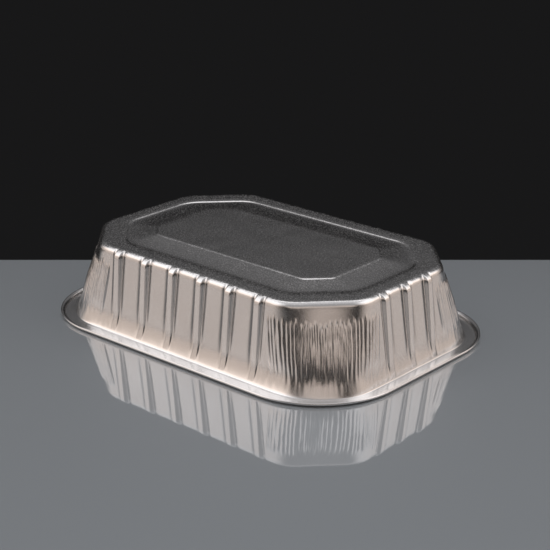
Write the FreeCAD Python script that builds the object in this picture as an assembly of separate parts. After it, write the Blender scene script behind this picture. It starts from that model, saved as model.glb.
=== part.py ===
import FreeCAD, Part
import math
import os
from FreeCAD import Vector

# A pressed foil food container, lying upside down: its rolled rim rests on the ground plane and
# its stepped base faces up. One sheet of foil makes the whole part, so it is one thin solid with
# an outer skin, an inner skin and an open mouth below. X runs along the length, Y across, Z up.

# Foil
foil = 0.15
fusing_overlap = 1.0

# Rim, flange and rolled edge
rim_length = 220.0
rim_width = 158.0
rim_corner_radius = 47.5
curl_radius = 1.1
curl_turn_deg = 270.0
curl_flats = 6
flange_width = 7.8
foot_corner_radius = 38.0

# Corners of the walls and of the base: each is cut off at one angle, and its two vertices are
# rounded in short flats, so that every facet of the walls is a plane
cut_deg = 44.0
vertex_flats = 6
foot_cut_straight = 2.0

# Walls, given where they leave the flare above the flange
wall_foot_length = 199.2
wall_foot_width = 132.6
wall_foot_corner_radius = 31.0
flare_height = 5.0
flare_steps = 3

# Base: a flat ring round a sunken band, and a raised panel in the middle
tray_height = 45.0
base_length = 182.0
base_width = 118.4
base_cut = 37.7
base_vertex_radius = 16.6
fold_radius = 3.2
fold_turn_deg = 84.0
fold_steps = 3
crest_length = 165.4
crest_width = 99.8
crest_cut = 36.1
crest_vertex_radius = 17.0
step_run = 1.0
band_drop = 1.0
band_rise = 0.9
panel_length = 125.8
panel_width = 62.0
panel_cut = 15.6
panel_vertex_radius = 5.0
panel_rise = 1.0

# Stiffening ribs pressed outward in the flat walls
long_side_ribs = 6
long_rib_pitch = 20.0
short_side_ribs = 3
short_rib_pitch = 17.8
rib_crest_width = 3.6
rib_flank_deg = 45.0
rib_shoulder_radius = 5.0
rib_shoulder_start_deg = 25.0
rib_shoulder_steps = 3

# Gathers in the corners, where the spare foil is pressed into upright pleats
pleats_per_corner = 20
pleat_depth = 1.1
pleat_low_depth = 0.8
pleat_valley_rise = 0.1
pleat_end_depth = 0.3
pleat_lead = 2.0
pleat_top = 37.0
pleat_fade_top = 3.0
pleat_bottom = 7.0
pleat_fade_bottom = 9.0
pleat_spread = 3.0
pleat_wobble = 0.25
pleat_unevenness = 0.5

same_point = 1e-6
golden_share = (math.sqrt(5) - 1) / 2
CORNERS = ((1, 1), (-1, 1), (-1, -1), (1, -1))


def vertex_share():
    """How much of a cut one unit of vertex radius takes up at both its ends together."""
    slope = math.radians(cut_deg)
    return math.tan(slope / 2) + math.tan((math.pi / 2 - slope) / 2)


def cut_corner(length, width, cut, radius, grow=0.0):
    """A corner cut off straight with rounded vertices, for a plate moved outward by grow all round."""
    slope = math.radians(cut_deg)
    vertex = radius + grow
    cut_length = cut + grow * vertex_share()
    half_x = length / 2 + grow
    half_y = width / 2 + grow
    near = half_y - cut_length * math.cos(slope) - vertex * math.tan(slope / 2)
    far = half_x - cut_length * math.sin(slope) - vertex * math.tan((math.pi / 2 - slope) / 2)
    points = []
    for number in range(vertex_flats + 1):
        angle = slope * number / vertex_flats
        points.append(Vector(half_x - vertex + vertex * math.cos(angle), near + vertex * math.sin(angle), 0))
    for number in range(vertex_flats + 1):
        angle = slope + (math.pi / 2 - slope) * number / vertex_flats
        points.append(Vector(far + vertex * math.cos(angle), half_y - vertex + vertex * math.sin(angle), 0))
    return points


def outline(corner, z):
    """The points of a closed outline at height z, from the points of its first corner."""
    points = []
    for signs in CORNERS:
        turned = signs[0] * signs[1] < 0
        for point in (reversed(corner) if turned else corner):
            points.append(Vector(point.x * signs[0], point.y * signs[1], z))
    return points


def flat_face(points):
    """A flat face through a closed run of points."""
    return Part.Face(Part.makePolygon(points + points[:1]))


def wall_faces(points):
    """One flat face through four points, or two triangles where they don't lie in one plane."""
    first, second, third, fourth = points
    normal = (second - first).cross(third - first)
    if abs(normal.dot(fourth - first)) < same_point:
        return [flat_face(points)]
    return [flat_face([first, second, third]), flat_face([first, third, fourth])]


def stacked_solid(sections):
    """A closed solid with flat faces through stacked polygons; an uneven end is closed as a fan."""
    faces = []
    for lower, upper in zip(sections, sections[1:]):
        for i in range(len(lower)):
            j = (i + 1) % len(lower)
            faces += wall_faces([lower[i], lower[j], upper[j], upper[i]])
    for section in (sections[0], sections[-1]):
        heights = [point.z for point in section]
        if max(heights) - min(heights) < same_point:
            faces.append(flat_face(section))
        else:
            faces += [flat_face([section[-1], *pair]) for pair in zip(section[:-2], section[1:-1])]
    shell = Part.makeShell(faces)
    shell.sewShape()
    solid = Part.makeSolid(shell)
    if solid.Volume < 0:
        solid.reverse()
    return solid


def fold_offset(radius, turn_deg):
    """How far out and down a fold of the given radius has gone after a turn from the flat."""
    turn = math.radians(turn_deg)
    return radius * math.sin(turn), radius * (1 - math.cos(turn))


def base_corner(grow):
    """The corner of the base ring's outline, moved outward by grow."""
    return cut_corner(base_length, base_width, base_cut, base_vertex_radius, grow)


def crest_corner(grow):
    """The corner of the ring's inner edge, moved outward by grow."""
    return cut_corner(crest_length, crest_width, crest_cut, crest_vertex_radius, grow)


def panel_corner(grow):
    """The corner of the raised panel, moved outward by grow."""
    return cut_corner(panel_length, panel_width, panel_cut, panel_vertex_radius, grow)


def foot_corner(share, inset):
    """The wall's corner in the flare: share 0 is where the wall ends and 1 is where the flange starts."""
    foot_length = rim_length - 2 * flange_width
    foot_width = rim_width - 2 * flange_width
    length = wall_foot_length + (foot_length - wall_foot_length) * share
    width = wall_foot_width + (foot_width - wall_foot_width) * share
    radius = wall_foot_corner_radius + (foot_corner_radius - wall_foot_corner_radius) * share
    return cut_corner(length, width, radius * vertex_share() + foot_cut_straight, radius, -inset)


def wall_top_corner(inset):
    """The wall's corner just under the fold, and its height."""
    out, down = fold_offset(fold_radius - inset, fold_turn_deg)
    return base_corner(out), tray_height - inset - down


def wall_block(inset, floor):
    """The block inside one skin, from the mouth through the flare, the wall and the fold to the ring."""
    sections = [outline(foot_corner(1, inset), floor)]
    for step in range(flare_steps):
        turn = math.pi / 2 * step / flare_steps
        level = foil - inset + flare_height * (1 - math.cos(turn))
        sections.append(outline(foot_corner(1 - math.sin(turn), inset), level))
    sections.append(outline(foot_corner(0, inset), foil - inset + flare_height))
    for step in range(fold_steps, -1, -1):
        out, down = fold_offset(fold_radius - inset, fold_turn_deg * step / fold_steps)
        sections.append(outline(base_corner(out), tray_height - inset - down))
    return stacked_solid(sections)


def smooth_form(inset, floor):
    """The closed form inside one skin without ribs or pleats: the block with its stepped base."""
    ring_level = tray_height - inset
    band_level = ring_level - band_drop
    band_edge = outline(crest_corner(-step_run), band_level)
    well = stacked_solid([band_edge, outline(crest_corner(0), ring_level)])
    panel_foot = outline(panel_corner(step_run), band_level + band_rise)
    panel_edge = outline(panel_corner(0), ring_level + panel_rise)
    dome = stacked_solid([band_edge, panel_foot, panel_edge])
    return wall_block(inset, floor).cut(well).fuse(dome)


def wall_share(z, inset):
    """How far down the wall a height lies, from 0 under the fold to 1 above the flare."""
    top = wall_top_corner(inset)[1]
    return (top - z) / (top - foil + inset - flare_height)


def wall_half_width(along_x, z, inset):
    """Half the distance between two opposite flat walls at height z."""
    upper = wall_top_corner(inset)[0]
    lower = foot_corner(0, inset)
    share = wall_share(z, inset)
    if along_x:
        return upper[0].x + (lower[0].x - upper[0].x) * share
    return upper[-1].y + (lower[-1].y - upper[-1].y) * share


def rib_section(place, crest, z, root, inset):
    """One level of a rib on the long side: a trapezoid from its root in the wall out to its crest."""
    flank = math.radians(rib_flank_deg)
    half_crest = rib_crest_width / 2 - inset * math.tan(flank / 2)
    half_root = half_crest + (crest - root) / math.tan(flank)
    xs = (place - half_root, place - half_crest, place + half_crest, place + half_root)
    ys = (root, crest, crest, root)
    return [Vector(x, y, z) for x, y in zip(xs, ys)]


def rib(place, along_x, inset):
    """A rib on the wall at +Y, or at +X when along_x: a round shoulder, then a crest that dies out."""
    half_base = (base_length if along_x else base_width) / 2
    sections = []
    for step in range(rib_shoulder_steps + 1):
        share = step / rib_shoulder_steps
        turn_deg = rib_shoulder_start_deg + (fold_turn_deg - rib_shoulder_start_deg) * share
        out, down = fold_offset(rib_shoulder_radius - inset, turn_deg)
        level = tray_height - inset - down
        root = min(half_base, wall_half_width(along_x, level, inset)) - fusing_overlap
        sections.append(rib_section(place, half_base + out, level, root, inset))
    foot_level = foil - inset + flare_height
    foot_crest = wall_half_width(along_x, foot_level, inset)
    sections.append(rib_section(place, foot_crest, foot_level, foot_crest - fusing_overlap, inset))
    shape = stacked_solid(sections)
    if along_x:
        shape.rotate(Vector(0, 0, 0), Vector(0, 0, 1), -90)
    return shape


def ribs(inset):
    """Every rib of one skin, patterned along the four flat walls."""
    shapes = []
    sides = ((long_side_ribs, long_rib_pitch, False), (short_side_ribs, short_rib_pitch, True))
    for count, pitch, along_x in sides:
        for number in range(count):
            place = (number - (count - 1) / 2) * pitch
            for turn in (0, 180):
                shape = rib(place, along_x, inset)
                shape.rotate(Vector(0, 0, 0), Vector(0, 0, 1), turn)
                shapes.append(shape)
    return shapes


def unevenness(number, seed):
    """A repeatable value between 0 and 1 that looks irregular from one pleat to the next."""
    return (number * number * golden_share + (number + seed) * seed * golden_share ** 2) % 1


def gather_path(corner, from_y, to_x):
    """Evenly spaced points round a corner of the wall and a little way along both its flat sides."""
    points = [Vector(corner[0].x, from_y, 0)] + corner + [Vector(to_x, corner[-1].y, 0)]
    return Part.makePolygon(points).discretize(Number=2 * pleats_per_corner + 1)


def pleat_column(number, seed):
    """Heights and rises, from the bottom up, of one crest or one valley line of the gathers."""
    crest = number % 2
    uneven = unevenness(number, seed)
    share = 1 - pleat_unevenness * uneven if crest else 0
    low_rise = pleat_valley_rise + pleat_low_depth * share
    high_rise = pleat_valley_rise + pleat_depth * share
    bottom = pleat_bottom + pleat_spread * uneven
    top = pleat_top - pleat_spread * unevenness(number + 1, seed)
    return ((bottom, -pleat_end_depth), (bottom + pleat_fade_bottom, low_rise),
            (top - pleat_fade_top, high_rise), (top, -pleat_end_depth))


def pleats_of_corner(seed, inset):
    """The pleats of one corner: crest and valley lines side by side, closed through the inside."""
    upper_corner = wall_top_corner(inset)[0]
    from_y = upper_corner[0].y - pleat_lead
    to_x = upper_corner[-1].x - pleat_lead
    upper = gather_path(upper_corner, from_y, to_x)
    lower = gather_path(foot_corner(0, inset), from_y, to_x)
    last = len(upper) - 1
    levels = [[], [], [], []]
    for number in range(last + 1):
        before = max(number - 1, 0)
        after = min(number + 1, last)
        along = (upper[after] - upper[before]).normalize()
        outward = Vector(along.y, -along.x, 0)
        wobble = pleat_wobble * (unevenness(number, seed + 1) - 0.5)
        for level, (z, rise) in zip(levels, pleat_column(number, seed)):
            down = wall_share(z - inset, inset)
            step = (lower[after] - lower[before]) * down + (upper[after] - upper[before]) * (1 - down)
            point = upper[number] + (lower[number] - upper[number]) * down + step * wobble + outward * rise
            level.append(Vector(point.x, point.y, z - inset))
    for level in levels:
        height = sum(point.z for point in level) / len(level)
        level.append(Vector(to_x, from_y, height))
    return stacked_solid(levels)


def pleats(inset):
    """The pleats of all four corners of one skin, each corner with its own irregular rhythm."""
    shapes = []
    for seed, signs in enumerate(CORNERS):
        shape = pleats_of_corner(seed, inset)
        if signs[0] < 0:
            shape = shape.mirror(Vector(0, 0, 0), Vector(1, 0, 0))
        if signs[1] < 0:
            shape = shape.mirror(Vector(0, 0, 0), Vector(0, 1, 0))
        shapes.append(shape)
    return shapes


def skin_form(inset, floor):
    """The whole form inside one skin: the smooth form with its ribs and pleats."""
    return smooth_form(inset, floor).multiFuse(ribs(inset) + pleats(inset))


def flange():
    """The flat plate of foil from which the curl starts, its middle still closed."""
    length = rim_length - 2 * curl_radius
    width = rim_width - 2 * curl_radius
    plate = Part.makeBox(length, width, foil, Vector(-length / 2, -width / 2, 0))
    upright = [edge for edge in plate.Edges if abs(edge.tangentAt(edge.FirstParameter).z) > 1 - same_point]
    return plate.makeFillet(rim_corner_radius - curl_radius, upright)


def curl_section(edge):
    """The section of the rolled edge in the XZ plane, for a rim whose outer edge is at x = edge."""
    middle = Vector(edge - curl_radius, 0, curl_radius)
    directions = []
    for number in range(curl_flats + 1):
        angle = math.radians(curl_turn_deg * number / curl_flats - 90)
        directions.append(Vector(math.cos(angle), 0, math.sin(angle)))
    outer = [middle + direction * curl_radius for direction in directions]
    inner = [middle + direction * (curl_radius - foil) for direction in reversed(directions)]
    return flat_face(outer + inner)


def curl():
    """The rolled edge all round: a straight roll on each side and a turned roll at each corner."""
    center_x = rim_length / 2 - rim_corner_radius
    center_y = rim_width / 2 - rim_corner_radius
    pieces = []
    for turn in (0, 180):
        side = curl_section(rim_length / 2)
        side.translate(Vector(0, -center_y, 0))
        side = side.extrude(Vector(0, 2 * center_y, 0))
        end = curl_section(rim_width / 2)
        end.translate(Vector(0, -center_x, 0))
        end = end.extrude(Vector(0, 2 * center_x, 0))
        end.rotate(Vector(0, 0, 0), Vector(0, 0, 1), 90)
        for piece in (side, end):
            piece.rotate(Vector(0, 0, 0), Vector(0, 0, 1), turn)
            pieces.append(piece)
    for number, signs in enumerate(CORNERS):
        middle = Vector(signs[0] * center_x, signs[1] * center_y, 0)
        corner = curl_section(rim_corner_radius)
        corner = corner.revolve(Vector(0, 0, 0), Vector(0, 0, 1), 90)
        corner.rotate(Vector(0, 0, 0), Vector(0, 0, 1), 90 * number)
        corner.translate(middle)
        pieces.append(corner)
    return pieces


def container():
    """The finished container: the outer form and the rim, hollowed by the form of the inner skin."""
    body = skin_form(0, 0).multiFuse([flange()] + curl())
    return body.cut(skin_form(foil, -fusing_overlap)).removeSplitter()


os.makedirs("parts", exist_ok=True)
part = container()
part.exportStep("parts/container.step")
print("container solids", len(part.Solids), "valid", part.isValid(), "volume", round(part.Volume, 1))
print("box", part.BoundBox)
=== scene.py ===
"""The looks of an oblong food container pressed from one sheet of foil, lying mouth down.

One closed sheet mesh stands for the pressed foil: stepped base, fold, ribbed walls, gathered
corners, flare, flange and rolled edge, with its inner skin one foil thickness further in. The
shape is worked out in millimetres as rings of points that run round the container, one ring for
each station of its profile, and goes into the mesh in metres.
"""

import logging
import math
from collections.abc import Callable
from dataclasses import dataclass, field, replace
from enum import Enum
from typing import Any

import bpy
import numpy as np
from mathutils import Matrix, Vector


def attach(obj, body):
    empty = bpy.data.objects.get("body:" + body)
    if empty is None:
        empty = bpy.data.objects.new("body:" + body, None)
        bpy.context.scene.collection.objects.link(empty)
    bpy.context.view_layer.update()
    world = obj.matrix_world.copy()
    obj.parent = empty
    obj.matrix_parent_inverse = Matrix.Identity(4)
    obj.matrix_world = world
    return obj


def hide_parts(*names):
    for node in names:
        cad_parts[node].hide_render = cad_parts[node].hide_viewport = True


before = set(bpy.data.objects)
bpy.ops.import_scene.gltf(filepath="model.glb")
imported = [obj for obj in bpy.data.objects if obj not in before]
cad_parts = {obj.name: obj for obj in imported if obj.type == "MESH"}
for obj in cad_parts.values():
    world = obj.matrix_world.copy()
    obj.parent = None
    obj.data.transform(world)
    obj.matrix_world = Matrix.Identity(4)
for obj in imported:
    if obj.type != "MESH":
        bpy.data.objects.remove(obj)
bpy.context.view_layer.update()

log = logging.getLogger("foil_container")

Array = np.ndarray
Pair = tuple[float, float]
Colour = tuple[float, float, float, float]
MM = 0.001
QUARTERS = ((1.0, 1.0), (-1.0, 1.0), (-1.0, -1.0), (1.0, -1.0))


class Tap:
    """One output socket of a shader tree, with the arithmetic that Math nodes do."""

    def __init__(self, tree: "Tree", socket: bpy.types.NodeSocket) -> None:
        """Keeps the socket and the tree that it belongs to."""
        self.tree = tree
        self.socket = socket

    def _math(self, operation: str, first: Any, second: Any = None) -> "Tap":
        """Adds a Math node with one or two values or links."""
        values = {0: first} if second is None else {0: first, 1: second}
        return self.tree.node("ShaderNodeMath", {"operation": operation}, values)["Value"]

    def __add__(self, other: Any) -> "Tap":
        """Sum."""
        return self._math("ADD", self, other)

    __radd__ = __add__

    def __mul__(self, other: Any) -> "Tap":
        """Product."""
        return self._math("MULTIPLY", self, other)

    __rmul__ = __mul__

    def __sub__(self, other: Any) -> "Tap":
        """Difference."""
        return self._math("SUBTRACT", self, other)

    def __rsub__(self, other: Any) -> "Tap":
        """Reflected difference."""
        return self._math("SUBTRACT", other, self)

    def __pow__(self, other: Any) -> "Tap":
        """Power."""
        return self._math("POWER", self, other)

    def ramp(self, low: float, high: float) -> "Tap":
        """Maps the value smoothly to 0 at low and 1 at high."""
        settings = {"interpolation_type": "SMOOTHSTEP"}
        return self.tree.node("ShaderNodeMapRange", settings, {0: self, 1: low, 2: high})["Result"]


class Tree:
    """The node tree of a material or a world, emptied, with one method that adds any node."""

    def __init__(self, owner: bpy.types.ID) -> None:
        """Empties the owner's node tree.

        Args:
            owner: The material or world.
        """
        owner.use_nodes = True
        self.tree = owner.node_tree
        self.tree.nodes.clear()

    def node(self, kind: str, settings: dict[str, Any] | None = None,
             values: dict[Any, Any] | None = None) -> dict[Any, Tap]:
        """Adds a node.

        Args:
            kind: The node's type.
            settings: Properties of the node, set before its sockets.
            values: Values or links by the name or number of the input.

        Returns:
            Its outputs by name.
        """
        made = self.tree.nodes.new(kind)
        for name, value in (settings or {}).items():
            setattr(made, name, value)
        for key, value in (values or {}).items():
            socket = made.inputs[key]
            if isinstance(value, Tap):
                self.tree.links.new(value.socket, socket)
            else:
                socket.default_value = value
        return {output.name: Tap(self, output) for output in made.outputs if output.enabled}

    def mix(self, share: Any, first: Any, second: Any) -> Tap:
        """Mixes two colours, of which the second shows by its share."""
        values = {0: share, 6: first, 7: second}
        return self.node("ShaderNodeMix", {"data_type": "RGBA"}, values)["Result"]

    def noise(self, place: Tap, scale: float, detail: float = 2.0, rough: float = 0.5) -> Tap:
        """Adds a noise round 0.5, with so many features per metre and finer layers on them."""
        values = {"Vector": place, "Scale": scale, "Detail": detail, "Roughness": rough}
        return self.node("ShaderNodeTexNoise", None, values)["Fac"]


def grey(value: float) -> Colour:
    """A neutral colour of that value."""
    return (value, value, value, 1.0)


@dataclass(frozen=True)
class FoilFinish:
    """Bare aluminium foil: satin, slightly warm, with a fine grain and a soft unevenness."""

    light: Colour = (0.87, 0.85, 0.835, 1.0)
    dull: Colour = (0.77, 0.745, 0.73, 1.0)
    cloud_scale: float = 60.0
    patch_scale: float = 14.0
    rolling_scale: tuple[float, float, float] = (40.0, 2600.0, 900.0)
    dull_range: Pair = (0.3, 0.75)
    dull_share: float = 0.6
    rolling_share: float = 0.15
    rolling_height: float = 0.2
    rough_low: float = 0.19
    rough_span: float = 0.03
    rough_grain: float = 0.2
    base_grain: float = 4.6
    base_speckle: float = 4.0
    base_height: Pair = (0.0432, 0.0448)
    grain_scale: float = 1500.0
    grain_height: float = 6.0e-6
    peel_scale: float = 650.0
    peel_height: float = 1.0e-5
    wobble_scale: float = 95.0
    wobble_height: float = 2.5e-5

    def material(self) -> bpy.types.Material:
        """Makes the material.

        Returns:
            The foil's material.
        """
        made = bpy.data.materials.new("pressed_foil")
        tree = Tree(made)
        place = tree.node("ShaderNodeTexCoord")["Object"]
        clouds = tree.noise(place, self.cloud_scale, detail=3.0)
        patches = tree.noise(place, self.patch_scale)
        drawn_out = tree.node("ShaderNodeMapping", None,
                              {"Vector": place, "Scale": self.rolling_scale})["Vector"]
        rolled = tree.noise(drawn_out, 1.0)
        grain = tree.noise(place, self.grain_scale, rough=0.6)
        peel = tree.noise(place, self.peel_scale)
        wobble = tree.noise(place, self.wobble_scale, rough=0.4)
        dullness = (clouds * 0.5 + patches * 0.5).ramp(*self.dull_range)
        share = dullness * self.dull_share + rolled * self.rolling_share
        colour = tree.mix(share, self.light, self.dull)
        axes = tree.node("ShaderNodeSeparateXYZ", None, {"Vector": place})
        on_base = axes["Z"].ramp(*self.base_height)
        coarser = on_base * (self.base_grain - 1) + 1
        fine = (grain * self.grain_height + peel * self.peel_height) * coarser
        rolling = rolled * (self.rolling_height * self.grain_height)
        height = fine + wobble * self.wobble_height + rolling
        speckle = (grain - 0.5) * (on_base * (self.base_speckle - 1) + 1) * self.rough_grain
        rough = dullness * self.rough_span + self.rough_low + speckle
        bump = tree.node("ShaderNodeBump", None,
                         {"Height": height, "Distance": 1.0, "Strength": 1.0})
        shader = tree.node("ShaderNodeBsdfPrincipled", None, {
            "Base Color": colour, "Metallic": 1.0, "Roughness": rough, "Normal": bump["Normal"]})
        tree.node("ShaderNodeOutputMaterial", None, {"Surface": shader["BSDF"]})
        return made


@dataclass(frozen=True)
class SheetFinish:
    """A plain glossy sheet with a satin ground, which mirrors more at a low angle."""

    colour: Colour
    satin: Colour
    satin_share: float = 0.6
    satin_rough: float = 0.62
    mirror_power: float = 2.4
    gloss_rough: float = 0.03

    def material(self, name: str) -> bpy.types.Material:
        """Makes the material.

        Args:
            name: The material's name.

        Returns:
            The sheet's material.
        """
        made = bpy.data.materials.new(name)
        tree = Tree(made)
        facing = tree.node("ShaderNodeLayerWeight", None, {"Blend": 0.5})["Facing"]
        matt = tree.node("ShaderNodeBsdfDiffuse", None, {"Color": self.colour})["BSDF"]
        satin = tree.node("ShaderNodeBsdfAnisotropic", None,
                          {"Color": self.satin, "Roughness": self.satin_rough})["BSDF"]
        gloss = tree.node("ShaderNodeBsdfAnisotropic", None,
                          {"Color": grey(1.0), "Roughness": self.gloss_rough})["BSDF"]
        ground = tree.node("ShaderNodeMixShader", None,
                           {0: self.satin_share, 1: matt, 2: satin})["Shader"]
        share = facing ** self.mirror_power
        both = tree.node("ShaderNodeMixShader", None, {0: share, 1: ground, 2: gloss})["Shader"]
        tree.node("ShaderNodeOutputMaterial", None, {"Surface": both})
        return made


@dataclass(frozen=True)
class CutPlate:
    """An oblong outline with its corners cut off at one angle and the vertices rounded, in mm."""

    length: float
    width: float
    cut: float
    vertex: float
    cut_deg: float = 44.0

    @property
    def slope(self) -> float:
        """The turn of the first vertex, in radians."""
        return math.radians(self.cut_deg)

    @property
    def vertex_share(self) -> float:
        """How much of the cut one unit of vertex radius takes up at both ends together."""
        return math.tan(self.slope / 2) + math.tan((math.pi / 2 - self.slope) / 2)

    def moved(self, grow: float) -> "CutPlate":
        """The same outline moved outward by grow all round."""
        return CutPlate(self.length + 2 * grow, self.width + 2 * grow,
                        self.cut + grow * self.vertex_share, self.vertex + grow, self.cut_deg)

    @staticmethod
    def rounded(length: float, width: float, radius: float, straight: float = 0.0) -> "CutPlate":
        """An outline whose corners are round, with a short straight stretch in their middle."""
        plain = CutPlate(length, width, 0.0, radius)
        return replace(plain, cut=radius * plain.vertex_share + straight)

    def stations(self) -> Array:
        """The distances from the middle of the short side at which the outline's pieces meet.

        Returns:
            Six distances: start, end of the flat, of the first vertex, of the cut, of the second
            vertex, and the middle of the long side.
        """
        near = self.vertex * math.tan(self.slope / 2)
        far = self.vertex * math.tan((math.pi / 2 - self.slope) / 2)
        short_flat = self.width / 2 - self.cut * math.cos(self.slope) - near
        long_flat = self.length / 2 - self.cut * math.sin(self.slope) - far
        pieces = [0.0, short_flat, self.vertex * self.slope, self.cut - near - far,
                  self.vertex * (math.pi / 2 - self.slope), long_flat]
        return np.cumsum(pieces)

    def at(self, distance: Array) -> Array:
        """Points of the first quarter: along the short side, round the corner, along the long side.

        Each piece is a straight run or an arc, whose angle is the distance over its radius.

        Args:
            distance: Distances from the middle of the short side.

        Returns:
            One row of x and y for each distance.
        """
        marks = self.stations()
        half_x, half_y, r = self.length / 2, self.width / 2, self.vertex
        first = np.array((half_x - r, marks[1]))
        last = np.array((marks[5] - marks[4], half_y - r))
        steps = np.clip(distance[:, None] - marks[None, :5], 0.0, np.diff(marks)[None, :])
        turn_1 = steps[:, 1] / r
        turn_2 = self.slope + steps[:, 3] / r
        arc_1 = first + r * np.stack((np.cos(turn_1), np.sin(turn_1)), 1)
        along = np.array((-math.sin(self.slope), math.cos(self.slope)))
        arc_2 = last + r * np.stack((np.cos(turn_2), np.sin(turn_2)), 1)
        flat_1 = np.stack((np.full(len(distance), half_x), steps[:, 0]), 1)
        flat_2 = np.stack((last[0] - steps[:, 4], np.full(len(distance), half_y)), 1)
        cut = arc_1 + steps[:, 2][:, None] * along
        piece = np.searchsorted(marks[1:5], distance, side="right")[:, None]
        pieces = [flat_1, arc_1, cut, arc_2]
        return np.select([piece == number for number in range(4)], pieces, flat_2)


@dataclass
class TraySizes:
    """The main sizes of the container in mm. The outlines are those of its solid."""

    foil: float = 0.15
    height: float = 45.0
    rim: CutPlate = CutPlate.rounded(220.0, 158.0, 47.5)
    foot: CutPlate = CutPlate.rounded(204.4, 142.4, 38.0, 2.0)
    wall_foot: CutPlate = CutPlate.rounded(199.2, 132.6, 31.0, 2.0)
    base: CutPlate = CutPlate(182.0, 118.4, 37.7, 16.6)
    crest: CutPlate = CutPlate(165.4, 99.8, 36.1, 17.0)
    panel: CutPlate = CutPlate(125.8, 62.0, 15.6, 5.0)
    curl_radius: float = 1.1
    curl_turn_deg: float = 318.0
    curl_lean: float = 1.3
    flange_fall: float = 0.12
    flange_ridge: float = 0.09
    flare_height: float = 5.0
    flare_power: float = 0.22
    spread_height: float = 11.0
    spread_share: float = 0.6
    fold_radius: float = 3.2
    fold_turn_deg: float = 79.0
    step_run: float = 0.8
    step_rounding: float = 0.5
    band_drop: float = 0.42
    band_rise: float = 1.05
    band_sag: float = 0.12
    panel_rise: float = 1.0
    panel_dent: float = 0.05
    step_dent: float = 0.04
    band_dent: float = 0.03


@dataclass
class RibSizes:
    """The ribs in the flat walls, in mm. The stations are the columns' distances from a rib."""

    long_centres: tuple[float, ...] = (-50.0, -30.0, -10.0, 10.0, 30.0, 50.0)
    short_centres: tuple[float, ...] = (-17.8, 0.0, 17.8)
    crest_width: float = 3.5
    shoulder_radius: float = 5.6
    flank_slope: float = 1.9
    height: float = 1.6
    end_z: float = 2.4
    taper: float = 0.72
    softness: float = 0.14
    strip_depth: float = 0.26
    strip_end: float = 3.72
    strip_edge: float = 0.3
    least: float = 0.01
    stations: tuple[float, ...] = (0.0, 1.1, 1.6, 1.8, 2.05, 2.3, 2.55, 2.85, 3.6, 3.85)


@dataclass(frozen=True)
class GatherLayer:
    """One layer of upright pleats in a corner, in mm.

    Its pleats reach from about the top down to about the bottom, both drawn within the spread. The
    tip and the fade are the heights over which a pleat begins and ends, the slant tilts it.
    """

    count: int
    depth: float
    top: float
    bottom: float
    tip: float
    fade: float
    spread: float
    slant: float


@dataclass
class GatherSizes:
    """The pleats of the corners. Heights and lengths are in mm, places are shares of the corner."""

    layers: tuple[GatherLayer, ...] = (
        GatherLayer(27, 0.64, 37.8, 3.6, 5.0, 11.0, 2.6, 0.0),
        GatherLayer(37, 0.2, 31.0, 7.5, 7.0, 9.0, 5.0, 0.03),
        GatherLayer(31, 0.2, 33.0, 5.5, 7.0, 9.0, 5.0, -0.02))
    seed: int = 100
    width_range: Pair = (0.7, 1.3)
    depth_range: Pair = (0.6, 1.0)
    margin: float = 0.015
    sag: float = 1.8
    sag_middle: float = 0.52
    sag_width: float = 0.2
    drift: float = 0.0014
    drift_length: float = 6.5
    drift_lead: float = 5.0
    drift_margin: float = 0.1
    slant_z: float = 21.0
    slant_height: float = 30.0
    narrowing: float = 0.16
    narrowing_z: float = 36.0
    crest_power: float = 1.7
    end_depth: float = 0.85
    end_width: float = 0.18


@dataclass
class DentSizes:
    """The soft unevenness of the walls, in mm. A squeeze draws it out along the height."""

    depth: float = 0.05
    squeeze: float = 0.4
    pucker_depth: float = 0.08
    pucker_squeeze: float = 0.15
    pucker_z: float = 8.0
    pucker_reach: float = 5.0
    bow_depth: float = 0.45
    bow_half: float = 60.0
    bow_height: float = 40.0


class Stride(Enum):
    """How many columns of the finest ring one column of a ring stands for."""

    FINE = 1
    HALF = 2
    COARSE = 4


Rings = list[tuple[Array, Stride]]


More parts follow.
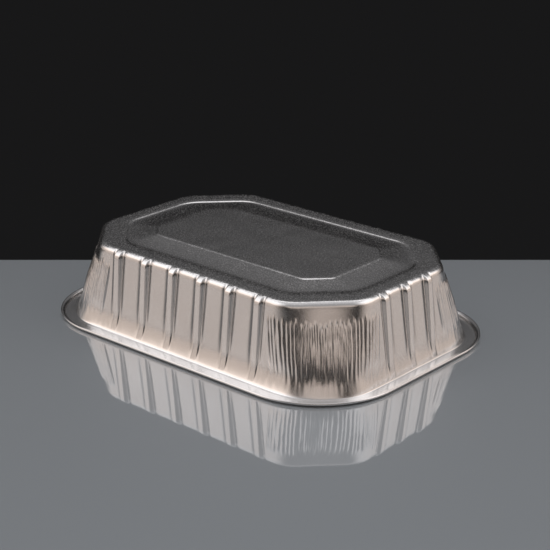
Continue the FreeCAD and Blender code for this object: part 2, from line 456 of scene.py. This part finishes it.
@dataclass
class Columns:
    """The upright lines of points that all rings share, for the full turn round the container."""

    sizes: TraySizes
    ribs: RibSizes
    per_quarter: int = 256
    lead_y: float = 22.0
    lead_x: float = 54.6
    fill_y: int = 3
    fill_x: int = 4
    wide_gap: float = 2.0
    clearance: float = 0.2

    def __post_init__(self) -> None:
        """Chooses the columns: close together at the ribs and in the corners."""
        self.short = self._flat(self.ribs.short_centres, self.lead_y, self.fill_y)
        self.long = self._flat(self.ribs.long_centres, self.lead_x, self.fill_x)[::-1]
        corner = self.per_quarter - len(self.short) - len(self.long) + 1
        self.share = np.linspace(0.0, 1.0, corner)
        base, foot = self.sizes.base, self.sizes.wall_foot
        marks = base.stations()
        self.base_marks = np.interp(self._distances(base), marks, np.arange(len(marks)))
        before, after = np.full(len(self.short), -1.0), np.full(len(self.long), 2.0)
        self.corner_share = self._round(np.concatenate((before, self.share, after)))
        self.quarter = self._round(np.zeros(self.per_quarter + 1),
                                   lambda values, number: values + number)
        self.middle = (self.ring(base) + self.ring(foot)) / 2
        along = np.roll(self.middle, -1, 0) - np.roll(self.middle, 1, 0)
        along /= np.linalg.norm(along, axis=1, keepdims=True)
        self.outward = np.stack((along[:, 1], -along[:, 0]), 1)

    def _flat(self, centres: tuple[float, ...], end: float, fill: int) -> Array:
        """Places along half a flat side, close together at each rib.

        Args:
            centres: The ribs' centres.
            end: Where the corner's columns begin.
            fill: How many places are put between two ribs.

        Returns:
            Places from 0 up to just before the end.
        """
        stations = np.array(self.ribs.stations)
        offsets = np.unique(np.concatenate((-stations, stations)))
        edges = np.sort((np.array(centres)[:, None] + offsets[None, :]).ravel())
        gaps = np.diff(edges)
        wide = gaps > self.wide_gap
        parts = np.arange(1, fill + 1) / (fill + 1)
        between = edges[:-1][wide][:, None] + gaps[wide][:, None] * parts
        places = np.unique(np.round(np.concatenate((edges, between.ravel(), [0.0])), 4))
        return places[(places >= 0.0) & (places < end - self.clearance)]

    def _distances(self, plate: CutPlate) -> Array:
        """Works out where the columns of a quarter cross an outline.

        Args:
            plate: The outline.

        Returns:
            Distances along it from the middle of the short side.
        """
        total = plate.stations()[-1]
        corner = self.lead_y + (total - self.lead_x - self.lead_y) * self.share
        return np.concatenate((self.short, corner, total - self.long))

    @staticmethod
    def _round(quarter: Array, change: Callable[[Array, int], Array] | None = None) -> Array:
        """Carries the values of one quarter round all four, mirrored from one to the next.

        Args:
            quarter: Values of the first quarter, its last one on the next quarter's first.
            change: What turns the first quarter's values into those of a quarter.

        Returns:
            Values for the full turn.
        """
        parts = []
        for number in range(len(QUARTERS)):
            values = quarter if change is None else change(quarter, number)
            parts.append(values[:-1] if number % 2 == 0 else values[:0:-1])
        return np.concatenate(parts)

    def ring(self, plate: CutPlate) -> Array:
        """The points of an outline of the wall, the flare or the rim, one for each column."""
        return self._turned(plate.at(self._distances(plate)))

    def base_ring(self, plate: CutPlate) -> Array:
        """The points of an outline of the base, at the same shares of its pieces as on its edge."""
        marks = plate.stations()
        return self._turned(plate.at(np.interp(self.base_marks, np.arange(len(marks)), marks)))

    def _turned(self, quarter: Array) -> Array:
        """Mirrors the points of a quarter to the full turn."""
        return self._round(quarter, lambda values, number: values * np.array(QUARTERS[number]))


def smooth(values: Any) -> Any:
    """Rises from 0 to 1 with the values, as three squares less two cubes."""
    held = np.clip(values, 0.0, 1.0)
    return held * held * (3.0 - 2.0 * held)


def soft_max(first: Any, second: Any, softness: float) -> Any:
    """The larger of two values with a rounded change.

    It is half of the two values and the root of their squared difference plus squared softness.
    """
    return (first + second + np.sqrt((first - second) ** 2 + softness**2)) / 2


def soft_min(first: Any, second: Any, softness: float) -> Any:
    """The smaller of two values with a rounded change."""
    return -soft_max(-first, -second, softness)


@dataclass
class Ripples:
    """A soft irregular unevenness: a sum of sine waves in seeded directions, lengths in mm."""

    seed: int
    waves: int
    shortest: float
    longest: float

    def __post_init__(self) -> None:
        """Draws the waves."""
        rng = np.random.default_rng(self.seed)
        directions = rng.normal(size=(self.waves, 3))
        directions /= np.linalg.norm(directions, axis=1, keepdims=True)
        lengths = rng.uniform(self.shortest, self.longest, (self.waves, 1))
        self.vectors = directions * 2 * math.pi / lengths
        self.phases = rng.uniform(0, 2 * math.pi, self.waves)

    def at(self, points: Array) -> Array:
        """The unevenness at each row of x, y and z in mm, mostly between -1 and 1."""
        waves = np.sin(points @ self.vectors.T + self.phases)
        return waves.sum(1) / math.sqrt(self.waves)


@dataclass
class Relief:
    """How far each column of the wall stands out from the smooth wall: ribs, gathers and dents."""

    columns: Columns
    sizes: TraySizes
    ribs: RibSizes
    gathers: GatherSizes
    dents: DentSizes

    def __post_init__(self) -> None:
        """Draws the dents, and measures how far each column of a flat wall is from its rib."""
        self.hollows = Ripples(seed=7, waves=24, shortest=9.0, longest=26.0)
        self.puckers = Ripples(seed=11, waves=18, shortest=2.4, longest=5.0)
        self.on_long = self.columns.corner_share > 1
        self.on_short = self.columns.corner_share < 0
        self.to_rib = np.zeros(len(self.on_long))
        for mask, axis, centres in ((self.on_long, 0, self.ribs.long_centres),
                                    (self.on_short, 1, self.ribs.short_centres)):
            place = self.columns.middle[mask][:, axis]
            self.to_rib[mask] = np.abs(place[:, None] - np.array(centres)[None, :]).min(1)

    def _wall_out(self, z: float, run: float) -> float:
        """Works out how far the smooth wall stands outside the base's edge at a height.

        Args:
            z: Height in mm.
            run: How far the wall's foot stands outside the base's edge.

        Returns:
            The distance: an arc at the fold, and a straight line below it.
        """
        s = self.sizes
        turn = math.radians(s.fold_turn_deg)
        down = s.height - z
        fold_down = s.fold_radius * (1 - math.cos(turn))
        fold_out = s.fold_radius * math.sin(turn)
        if down <= fold_down:
            return math.sqrt(max(s.fold_radius**2 - (s.fold_radius - down) ** 2, 0.0))
        foot = s.foil + s.flare_height
        return fold_out + (run - fold_out) * (down - fold_down) / (s.height - fold_down - foot)

    def _rib_height(self, z: float, run: float) -> float:
        """How far a rib's crest stands outside the wall at a height.

        At the top it is the gap between the fold and a rounder shoulder. Further down it is the
        rib's height times a power of the share that is left above the rib's end.

        Args:
            z: Height in mm.
            run: How far the wall's foot stands outside the base's edge.

        Returns:
            The rib's height there.
        """
        radius = self.ribs.shoulder_radius
        down = self.sizes.height - z
        arc = math.sqrt(max(radius**2 - max(radius - down, 0.0) ** 2, 0.0))
        shoulder = arc - self._wall_out(z, run)
        share = max(z - self.ribs.end_z, 0.0) / (self.sizes.height - radius - self.ribs.end_z)
        crest = self.ribs.height * share**self.ribs.taper
        return min(shoulder, crest) if down < radius else crest

    def rib_rise(self, z: float) -> Array:
        """The ribs at a height.

        Each is a flat crest with flanks of one slope, both changes rounded, and rises from a strip
        that is pressed in a little along both its flanks.

        Args:
            z: Height in mm.

        Returns:
            One outward distance for each column.
        """
        s, ribs = self.sizes, self.ribs
        rises = np.zeros(len(self.to_rib))
        sides = ((self.on_long, (s.wall_foot.width - s.base.width) / 2),
                 (self.on_short, (s.wall_foot.length - s.base.length) / 2))
        for mask, run in sides:
            rise = self._rib_height(z, run)
            if rise <= ribs.least:
                continue
            away = self.to_rib[mask]
            soft = ribs.softness * min(rise, 1.0)
            flank = rise + (ribs.crest_width / 2 - away) * ribs.flank_slope
            inside = smooth((ribs.strip_end + ribs.strip_edge / 2 - away) / ribs.strip_edge)
            strip = ribs.strip_depth * smooth(rise) * inside
            rises[mask] = soft_min(soft_max(flank, -strip, soft), rise, soft)
        return rises

    def gather_rise(self, z: float) -> Array:
        """The gathers of the four corners at a height.

        The crests' places, depths and ends are drawn anew at each height from the same seeds. A
        pleat is one less a power of the distance from its crest, as a share of its half width, so
        crests are round and valleys are sharp. Its half width shrinks to nothing at its tip as an
        ellipse does, and its depth fades towards its foot.

        Args:
            z: Height in mm.

        Returns:
            One outward distance for each column.
        """
        rises = np.zeros(len(self.to_rib))
        for quarter in range(len(QUARTERS)):
            mask = ~self.on_long & ~self.on_short & (self.columns.quarter == quarter)
            for number, layer in enumerate(self.gathers.layers):
                seed = self.gathers.seed + 10 * quarter + number
                rises[mask] += self._pleats(self.columns.corner_share[mask], z, layer, seed)
        return rises

    def _pleats(self, share: Array, z: float, layer: GatherLayer, seed: int) -> Array:
        """One layer of pleats in one corner at a height.

        Args:
            share: Places in the corner, from 0 to 1.
            z: Height in mm.
            layer: The layer's sizes.
            seed: Seed of the draw.

        Returns:
            One outward distance for each place.
        """
        g = self.gathers
        rng = np.random.default_rng(seed)
        widths = rng.uniform(*g.width_range, layer.count)
        shares = np.concatenate(([0.0], np.cumsum(widths) / widths.sum()))
        marks = g.margin + (1 - 2 * g.margin) * shares
        depth = layer.depth * rng.uniform(*g.depth_range, layer.count)
        middle = (marks[1:] + marks[:-1]) / 2
        top = layer.top - layer.spread * rng.uniform(0.0, 1.0, layer.count)
        top -= g.sag * np.exp(-(((middle - g.sag_middle) / g.sag_width) ** 2))
        bottom = layer.bottom + layer.spread * rng.uniform(0.0, 1.0, layer.count)
        phase = rng.uniform(0, 2 * math.pi)
        drift = g.drift * np.sin(z / g.drift_length + phase + g.drift_lead * share)
        drift += layer.slant * (z - g.slant_z) / g.slant_height
        drift *= smooth(share / g.drift_margin) * smooth((1 - share) / g.drift_margin)
        drawn = 0.5 + (share - 0.5) * (1 + g.narrowing * (g.narrowing_z - z) / g.slant_height)
        moved = np.clip(drawn + drift, 0.0, 1.0)
        pleat = np.clip(np.searchsorted(marks, moved) - 1, 0, layer.count - 1)
        half = (marks[pleat + 1] - marks[pleat]) / 2
        across = np.abs(moved - marks[pleat] - half) / half
        tip = np.sqrt(np.clip((top[pleat] - z) / layer.tip, 0.0, 1.0))
        shape = np.clip(1.0 - (across / np.maximum(tip, 1e-3)) ** g.crest_power, 0.0, 1.0)
        fade = smooth((z - bottom[pleat]) / layer.fade)
        ends = smooth(moved / g.end_width) * smooth((1 - moved) / g.end_width)
        deep = g.end_depth + (1 - g.end_depth) * ends
        return depth[pleat] * shape * fade * deep * smooth(tip * 2)

    def dent(self, points: Array, z: float) -> Array:
        """Soft dents over the whole wall and fine puckers near its foot, always inward.

        Args:
            points: The ring's points in mm.
            z: Their height.

        Returns:
            One outward distance for each column, never above zero.
        """
        d = self.dents
        low = math.exp(-(((z - d.pucker_z) / d.pucker_reach) ** 2))
        hollows = 1 + self.hollows.at(points * np.array((1.0, 1.0, d.squeeze)))
        puckers = 1 + self.puckers.at(points * np.array((1.0, 1.0, d.pucker_squeeze)))
        return -d.depth * hollows - d.pucker_depth * low * puckers

    def bow(self, z: float) -> Array:
        """The slight inward bow in the middle of the long sides, deepest at the base's edge.

        Args:
            z: Height in mm.

        Returns:
            One outward distance for each column, never above zero.
        """
        d = self.dents
        place = self.columns.middle[:, 0] / d.bow_half
        depth = d.bow_depth * smooth((z - self.sizes.foil) / d.bow_height)
        return -depth * np.where(self.on_long, 1.0 - np.minimum(place**2, 1.0), 0.0)


@dataclass
class RingStack:
    """Rings of points that are joined one to the next into a closed mesh."""

    points: list[Array] = field(default_factory=list)
    faces: list[Array] = field(default_factory=list)
    count: int = 0
    last: tuple[int, int] | None = None

    def pole(self, point: Array) -> None:
        """Closes the first or the last ring with a point in its middle.

        Args:
            point: The point, in mm.
        """
        self.points.append(point[None, :])
        here = self.count
        self.count += 1
        if self.last is None:
            self.last = (here, 1)
        else:
            start, count = self.last
            k = np.arange(count)
            self._face(start + k, here, start + (k + 1) % count)

    def _face(self, *corners: Any) -> None:
        """Adds a row of faces. Each corner is an array of points, or one point for all."""
        self.faces.append(np.stack(np.broadcast_arrays(*corners), 1))

    def add(self, ring: Array, stride: Stride) -> None:
        """Adds a ring and joins it to the one before it, which may have half or twice its points.

        Args:
            ring: The points of all columns.
            stride: How many of the columns are left out.
        """
        points = ring[:: stride.value]
        start, count = self.count, len(points)
        self.points.append(points)
        self.count += count
        if self.last is not None:
            self._join(*self.last, start, count)
        self.last = (start, count)

    def _join(self, a: int, a_count: int, b: int, b_count: int) -> None:
        """Adds the faces between two rings.

        Args:
            a: The first point of the ring before.
            a_count: Its number of points.
            b: The first point of the new ring.
            b_count: Its number of points.
        """
        k = np.arange(min(a_count, b_count) if a_count > 1 else b_count)
        if a_count == 1:
            self._face(a, b + k, b + (k + 1) % b_count)
        elif a_count == b_count:
            after = (k + 1) % a_count
            self._face(a + k, b + k, b + after, a + after)
        elif a_count == 2 * b_count:
            a0, a1, a2 = a + 2 * k, a + 2 * k + 1, a + (2 * k + 2) % a_count
            b0, b1 = b + k, b + (k + 1) % b_count
            self._face(a0, b0, a1)
            self._face(a1, b0, b1)
            self._face(a1, b1, a2)
        else:
            a0, a1 = a + k, a + (k + 1) % a_count
            b0, b1, b2 = b + 2 * k, b + 2 * k + 1, b + (2 * k + 2) % b_count
            self._face(a0, b0, b1)
            self._face(a0, b1, a1)
            self._face(a1, b1, b2)

    def mesh(self, name: str) -> bpy.types.Mesh:
        """Makes the mesh, in metres.

        Args:
            name: The mesh's name.

        Returns:
            The mesh, shaded smooth.
        """
        made = bpy.data.meshes.new(name)
        faces = [row for block in self.faces for row in block.tolist()]
        made.from_pydata((np.concatenate(self.points) * MM).tolist(), [], faces)
        made.polygons.foreach_set("use_smooth", np.ones(len(made.polygons), bool))
        made.validate()
        made.update()
        return made


@dataclass
class PressedFoil:
    """The whole container: both skins of the foil from the base's middle out to the rolled edge."""

    sizes: TraySizes = field(default_factory=TraySizes)
    ribs: RibSizes = field(default_factory=RibSizes)
    gathers: GatherSizes = field(default_factory=GatherSizes)
    dents: DentSizes = field(default_factory=DentSizes)
    finish: FoilFinish = field(default_factory=FoilFinish)
    panel_rings: tuple[float, ...] = (0.1, 0.25, 0.4, 0.55, 0.7, 0.85, 0.95)
    edge_rings: tuple[tuple[float, Stride], ...] = ((0.4, Stride.HALF), (0.85, Stride.FINE))
    step_points: int = 8
    band_points: int = 5
    outer_points: tuple[int, int, int] = (8, 29, 10)
    inner_points: tuple[int, int, int] = (5, 18, 6)
    flange_points: tuple[int, int] = (10, 4)
    curl_points: int = 13

    def __post_init__(self) -> None:
        """Works out the columns and the relief."""
        self.columns = Columns(self.sizes, self.ribs)
        self.relief = Relief(self.columns, self.sizes, self.ribs, self.gathers, self.dents)
        self.base_dents = Ripples(seed=3, waves=20, shortest=14.0, longest=45.0)

    @staticmethod
    def _level(ring: Array, z: Any) -> Array:
        """Puts the points of a ring at a height."""
        return np.column_stack((ring, np.broadcast_to(z, len(ring))))

    def _sunk(self, ring: Array, depth: float) -> Array:
        """Lowers points of the base by its soft dents, at most by twice the depth."""
        fall = depth * (1 + np.clip(self.base_dents.at(ring), -1.0, 1.0))
        return ring - fall[:, None] * np.array((0.0, 0.0, 1.0))

    def base_rings(self, inset: float) -> Rings:
        """Rings from the middle of the panel to the edge of the base.

        A step falls as the smooth rise from 0 to 1 does, over its run and a little rounding, and
        the band between the steps is a slope that sags by half a sine wave.

        Args:
            inset: 0 for the outer skin, the foil's thickness for the inner one.

        Returns:
            Rings with their strides.
        """
        s = self.sizes
        ring_level = s.height - inset
        panel_level = ring_level + s.panel_rise
        band_low = ring_level - s.band_drop
        band_high = band_low + s.band_rise
        rounding = s.step_rounding
        rings = []
        inner = self.columns.base_ring(s.panel.moved(-rounding))
        for share in self.panel_rings:
            ring = self._level(inner * share, panel_level)
            rings.append((self._sunk(ring, s.panel_dent), Stride.COARSE))
        shares = np.linspace(0.0, 1.0, self.step_points)
        for share in shares:
            grow = -rounding + (s.step_run + 2 * rounding) * share
            level = panel_level + (band_high - panel_level) * smooth(share)
            ring = self._level(self.columns.base_ring(s.panel.moved(grow)), level)
            rings.append((self._sunk(ring, s.step_dent * (1 - share)), Stride.COARSE))
        start = rings[-1][0]
        end = self._level(self.columns.base_ring(s.crest.moved(-s.step_run - rounding)), band_low)
        for share in np.linspace(0.0, 1.0, self.band_points + 2)[1:-1]:
            ring = start + (end - start) * share
            ring[:, 2] -= s.band_sag * math.sin(math.pi * share)
            rings.append((self._sunk(ring, s.band_dent), Stride.COARSE))
        for share in shares:
            grow = -s.step_run - rounding + (s.step_run + 2 * rounding) * share
            level = band_low + (ring_level - band_low) * smooth(share)
            ring = self._level(self.columns.base_ring(s.crest.moved(grow)), level)
            rings.append((ring, Stride.COARSE))
        bow = self.columns.outward * self.relief.bow(s.height)[:, None]
        start = rings[-1][0]
        end = self._level(self.columns.ring(s.base) + bow, ring_level)
        for share, stride in self.edge_rings:
            rings.append((start + (end - start) * share, stride))
        return rings

    def _spread(self, z: float) -> float:
        """How much of the way to the flange the wall has gone: a share times a square."""
        return self.sizes.spread_share * max(1.0 - z / self.sizes.spread_height, 0.0) ** 2

    def side_rings(self, inset: float) -> Rings:
        """Rings down the fold, the wall and the flare, with the relief of the wall on them.

        The fold is a circular arc. Below it each column goes down along one straight line, and a
        share of the way from the end of that line to the flange is added: the spread on the wall,
        and on the flare also a quarter of a squarish ellipse, sine and cosine to one power.

        Args:
            inset: 0 for the outer skin, the foil's thickness for the inner one.

        Returns:
            Rings with their strides.
        """
        s = self.sizes
        columns = self.columns
        counts = self.outer_points if inset == 0 else self.inner_points
        fold_points, wall_points, flare_points = counts
        radius = s.fold_radius - inset
        levels: list[tuple[Array, float, float]] = []
        for turn in np.radians(np.linspace(0.0, s.fold_turn_deg, fold_points)):
            ring = columns.ring(s.base.moved(radius * math.sin(turn)))
            levels.append((ring, s.height - inset - radius * (1 - math.cos(turn)), math.sin(turn)))
        top_ring, top, _ = levels[-1]
        foot_ring = columns.ring(s.wall_foot.moved(-inset))
        foot = s.foil - inset + s.flare_height
        drop = s.flare_height - s.flange_fall
        lean = (foot_ring - top_ring) / (top - foot)
        widening = columns.ring(s.foot.moved(-inset)) - foot_ring - lean * drop
        for share in np.linspace(0.0, 1.0, wall_points + 1)[1:]:
            z = top + (foot - top) * share
            ring = top_ring + lean * (top - z) + widening * self._spread(z + inset)
            levels.append((ring, z, 1.0))
        for turn in np.radians(np.linspace(90.0, 0.0, flare_points)[1:]):
            z = foot - drop * max(math.cos(turn), 0.0) ** s.flare_power
            bend = 1 - max(math.sin(turn), 0.0) ** s.flare_power
            spread = self._spread(z + inset)
            ring = foot_ring + lean * (foot - z) + widening * (spread + (1 - spread) * bend)
            levels.append((ring, z, math.sin(turn)))
        rings = []
        stride = Stride.FINE if inset == 0 else Stride.HALF
        for ring, z, strength in levels:
            outer_z = z + inset
            rise = self.relief.rib_rise(outer_z) + self.relief.bow(outer_z)
            dent = self.relief.dent(self._level(ring, outer_z), outer_z)
            rise += strength * (self.relief.gather_rise(outer_z) + dent)
            if inset > 0:
                rise = np.minimum(rise, np.minimum(np.roll(rise, 1), np.roll(rise, -1)))
            rings.append((self._level(ring + columns.outward * rise[:, None], z), stride))
        return rings

    def flange_rings(self, top: bool) -> Rings:
        """Rings of the flange from its start at the flare to the start of the rolled edge.

        It falls by the square of the share that is left, and four fine ridges run round it: the
        squared sine of two full turns.

        Args:
            top: Whether the upper face is wanted, or else the lower one.

        Returns:
            Rings with their strides.
        """
        s = self.sizes
        start = self.columns.ring(s.foot if top else s.foot.moved(-s.foil))
        end = self.columns.ring(s.rim.moved(self._curl_reach(s.curl_radius, -math.pi / 2)))
        rings = []
        for share in np.linspace(0.0, 1.0, self.flange_points[0 if top else 1] + 1)[1:]:
            ring = start + (end - start) * share
            level = s.flange_fall * (1 - share) ** 2 + (s.foil if top else 0.0)
            level += s.flange_ridge * math.sin(4 * math.pi * share) ** 2
            rings.append((self._level(ring, level), Stride.HALF))
        return rings

    def _curl_reach(self, radius: float, turn: float) -> float:
        """How far a point of the roll stands past the rim's outline.

        The roll is a circle that leans outward from its foot to its top, and its widest point
        touches that outline.

        Args:
            radius: The circle's radius.
            turn: The point's direction from the roll's middle, in radians above the horizontal.

        Returns:
            The distance, zero at the widest point of the outer face.
        """
        lean = self.sizes.curl_lean / 2
        widest = math.hypot(self.sizes.curl_radius, lean)
        return radius * math.cos(turn) + lean * math.sin(turn) - widest

    def curl_rings(self, radius: float, backwards: bool) -> Rings:
        """Rings round the rolled edge: points of a circle whose lowest point is on the flange.

        Args:
            radius: The circle's radius.
            backwards: Whether they run from the roll's end back to the flange.

        Returns:
            Rings with their strides.
        """
        s = self.sizes
        turns = np.radians(np.linspace(0.0, s.curl_turn_deg, self.curl_points + 1)[1:] - 90.0)
        if backwards:
            turns = np.append(turns[::-1], -math.pi / 2)
        rings = []
        for turn in turns:
            plate = s.rim.moved(self._curl_reach(radius, turn))
            level = s.curl_radius + radius * math.sin(turn)
            rings.append((self._level(self.columns.ring(plate), level), Stride.HALF))
        return rings

    def build(self) -> bpy.types.Object:
        """Builds the container's mesh and dresses it.

        Returns:
            The container.
        """
        s = self.sizes
        middle = s.height + s.panel_rise - s.panel_dent
        stack = RingStack()
        stack.pole(np.array((0.0, 0.0, middle)))
        outer = self.base_rings(0.0) + self.side_rings(0.0)
        roll = self.curl_rings(s.curl_radius - s.foil, False) + self.curl_rings(s.curl_radius, True)
        under = self.flange_rings(False)[::-1][1:] + self.side_rings(s.foil)[::-1]
        inner = self.base_rings(s.foil)[::-1]
        inner[0] = (inner[0][0], Stride.HALF)
        for ring, stride in outer + self.flange_rings(True) + roll + under + inner:
            stack.add(ring, stride)
        stack.pole(np.array((0.0, 0.0, middle - s.foil)))
        made = bpy.data.objects.new("foil_container", stack.mesh("foil_container"))
        bpy.context.scene.collection.objects.link(made)
        made.data.materials.append(self.finish.material())
        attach(made, "root")
        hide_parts("container")
        return made


@dataclass
class Room:
    """A soft bright room with a dark backdrop, and a dim gap with a lighter patch opposite it.

    A pair says where a part of the room begins and where it is full: across, from -1 opposite the
    backdrop to 1 at its middle, or in the height of the direction. The last number is a little
    over 1, so that the root of what the height leaves of it is never zero.
    """

    backdrop_way: Pair = (-0.663, 0.7485)
    low: float = 0.6
    sides: float = 1.36
    sides_height: Pair = (0.18, 0.42)
    ceiling: float = 0.6
    ceiling_height: Pair = (0.8, 0.94)
    backdrop: float = 0.01
    backdrop_across: Pair = (0.3, 0.8)
    backdrop_height: Pair = (0.84, 0.62)
    backdrop_lift: float = 0.11
    backdrop_lift_height: Pair = (0.26, 0.42)
    gap: float = 0.012
    gap_across: Pair = (-0.3, -0.85)
    gap_height: Pair = (0.99, 0.9)
    gap_lift: float = 0.36
    gap_lift_height: Pair = (0.3, 0.55)
    patch: float = 0.55
    patch_across: Pair = (-0.8, -0.95)
    patch_foot: Pair = (0.13, 0.29)
    patch_top: Pair = (0.56, 0.36)
    ground: Pair = (-0.02, 0.0)
    low_tint: Colour = (1.0, 0.85, 0.76, 1.0)
    high_tint: Colour = (0.97, 0.97, 1.0, 1.0)
    tint_height: Pair = (0.25, 0.8)
    past_one: float = 1.0001

    def build(self) -> None:
        """Makes the world. Its dark ground is everything below the horizon."""
        world = bpy.data.worlds.new("soft_room")
        bpy.context.scene.world = world
        tree = Tree(world)
        way = tree.node("ShaderNodeTexCoord")["Generated"]
        axes = tree.node("ShaderNodeSeparateXYZ", None, {"Vector": way})
        height = axes["Z"]
        reach = (self.past_one - height * height) ** 0.5
        towards = axes["X"] * self.backdrop_way[0] + axes["Y"] * self.backdrop_way[1]
        across = towards * reach ** -1
        level = height.ramp(*self.sides_height) * (self.sides - self.low) + self.low
        level = level - height.ramp(*self.ceiling_height) * (self.sides - self.ceiling)
        in_backdrop = across.ramp(*self.backdrop_across) * height.ramp(*self.backdrop_height)
        in_gap = across.ramp(*self.gap_across) * height.ramp(*self.gap_height)
        in_patch = (across.ramp(*self.patch_across) * height.ramp(*self.patch_foot)
                    * height.ramp(*self.patch_top))
        backdrop = height.ramp(*self.backdrop_lift_height) * self.backdrop_lift + self.backdrop
        gap = height.ramp(*self.gap_lift_height) * self.gap_lift + self.gap + in_patch * self.patch
        level = level * (1 - in_backdrop) + backdrop * in_backdrop
        level = (level * (1 - in_gap) + gap * in_gap) * height.ramp(*self.ground)
        cool = height.ramp(*self.tint_height) * (1 - in_backdrop) + in_backdrop
        tint = tree.mix(cool, self.low_tint, self.high_tint)
        light = tree.node("ShaderNodeBackground", None, {"Color": tint, "Strength": level})
        tree.node("ShaderNodeOutputWorld", None, {"Surface": light["Background"]})


@dataclass
class Studio:
    """The floor, the dark sheet behind it, the room and the camera, in metres or as named."""

    sheet_half: float = 6.0
    floor_end: float = 0.0972
    azimuth_deg: float = 41.546
    elevation_deg: float = 22.179
    distance: float = 0.81802
    focal_px: float = 1482.13
    image_px: float = 550.0
    sensor_mm: float = 36.0
    shift_px: Pair = (8.566, 44.857)
    floor_finish: SheetFinish = SheetFinish((0.15, 0.162, 0.171, 1.0), (0.56, 0.6, 0.63, 1.0))
    dark_finish: SheetFinish = SheetFinish((0.0135, 0.0138, 0.0142, 1.0), grey(0.0),
                                           satin_share=0.0, mirror_power=14.0)
    room: Room = field(default_factory=Room)

    def build_sheet(self, name: str, near: float, far: float,
                    finish: SheetFinish) -> bpy.types.Object:
        """Lays a flat sheet, square to the camera's view.

        Args:
            name: The sheet's name.
            near: Where it starts, measured away from the camera past the container's middle.
            far: Where it ends.
            finish: Its finish.

        Returns:
            The sheet.
        """
        turn = math.radians(self.azimuth_deg)
        right = np.array((math.cos(turn), math.sin(turn), 0.0))
        away = np.array((-math.sin(turn), math.cos(turn), 0.0))
        half = self.sheet_half
        corners = [side * right + reach * away
                   for side, reach in ((-half, near), (half, near), (half, far), (-half, far))]
        mesh = bpy.data.meshes.new(name)
        mesh.from_pydata([tuple(corner) for corner in corners], [], [(0, 1, 2, 3)])
        mesh.materials.append(finish.material(name))
        sheet = bpy.data.objects.new(name, mesh)
        bpy.context.scene.collection.objects.link(sheet)
        return sheet

    def build_camera(self) -> None:
        """Places the camera: two angles and a distance say where it stands, the shift frames it."""
        azimuth, elevation = math.radians(self.azimuth_deg), math.radians(self.elevation_deg)
        back = Vector((math.sin(azimuth) * math.cos(elevation),
                       -math.cos(azimuth) * math.cos(elevation), math.sin(elevation)))
        right = Vector((math.cos(azimuth), math.sin(azimuth), 0.0))
        up = back.cross(right)
        lens = bpy.data.cameras.new("view")
        lens.sensor_width = self.sensor_mm
        lens.lens = self.focal_px * lens.sensor_width / self.image_px
        lens.shift_x = self.shift_px[0] / self.image_px
        lens.shift_y = self.shift_px[1] / self.image_px
        camera = bpy.data.objects.new("view", lens)
        camera.matrix_world = Matrix((right, up, back)).transposed().to_4x4()
        camera.location = back * self.distance
        bpy.context.scene.collection.objects.link(camera)
        bpy.context.scene.camera = camera

    def build(self) -> list[bpy.types.Object]:
        """Sets up the whole studio.

        Returns:
            Its sheets.
        """
        half, end = self.sheet_half, self.floor_end
        sheets = [self.build_sheet("floor", -half, end, self.floor_finish),
                  self.build_sheet("dark_sheet", end, half, self.dark_finish)]
        self.room.build()
        self.build_camera()
        bpy.context.scene.view_settings.view_transform = "Standard"
        return sheets


def main() -> None:
    """Builds the container and the studio, and reports each piece."""
    logging.basicConfig(level=logging.INFO, format="%(message)s")
    for piece in (PressedFoil().build(), *Studio().build()):
        mesh = piece.data
        log.info("%s: %d points, %d faces", piece.name, len(mesh.vertices), len(mesh.polygons))


if __name__ == "__main__":
    main()
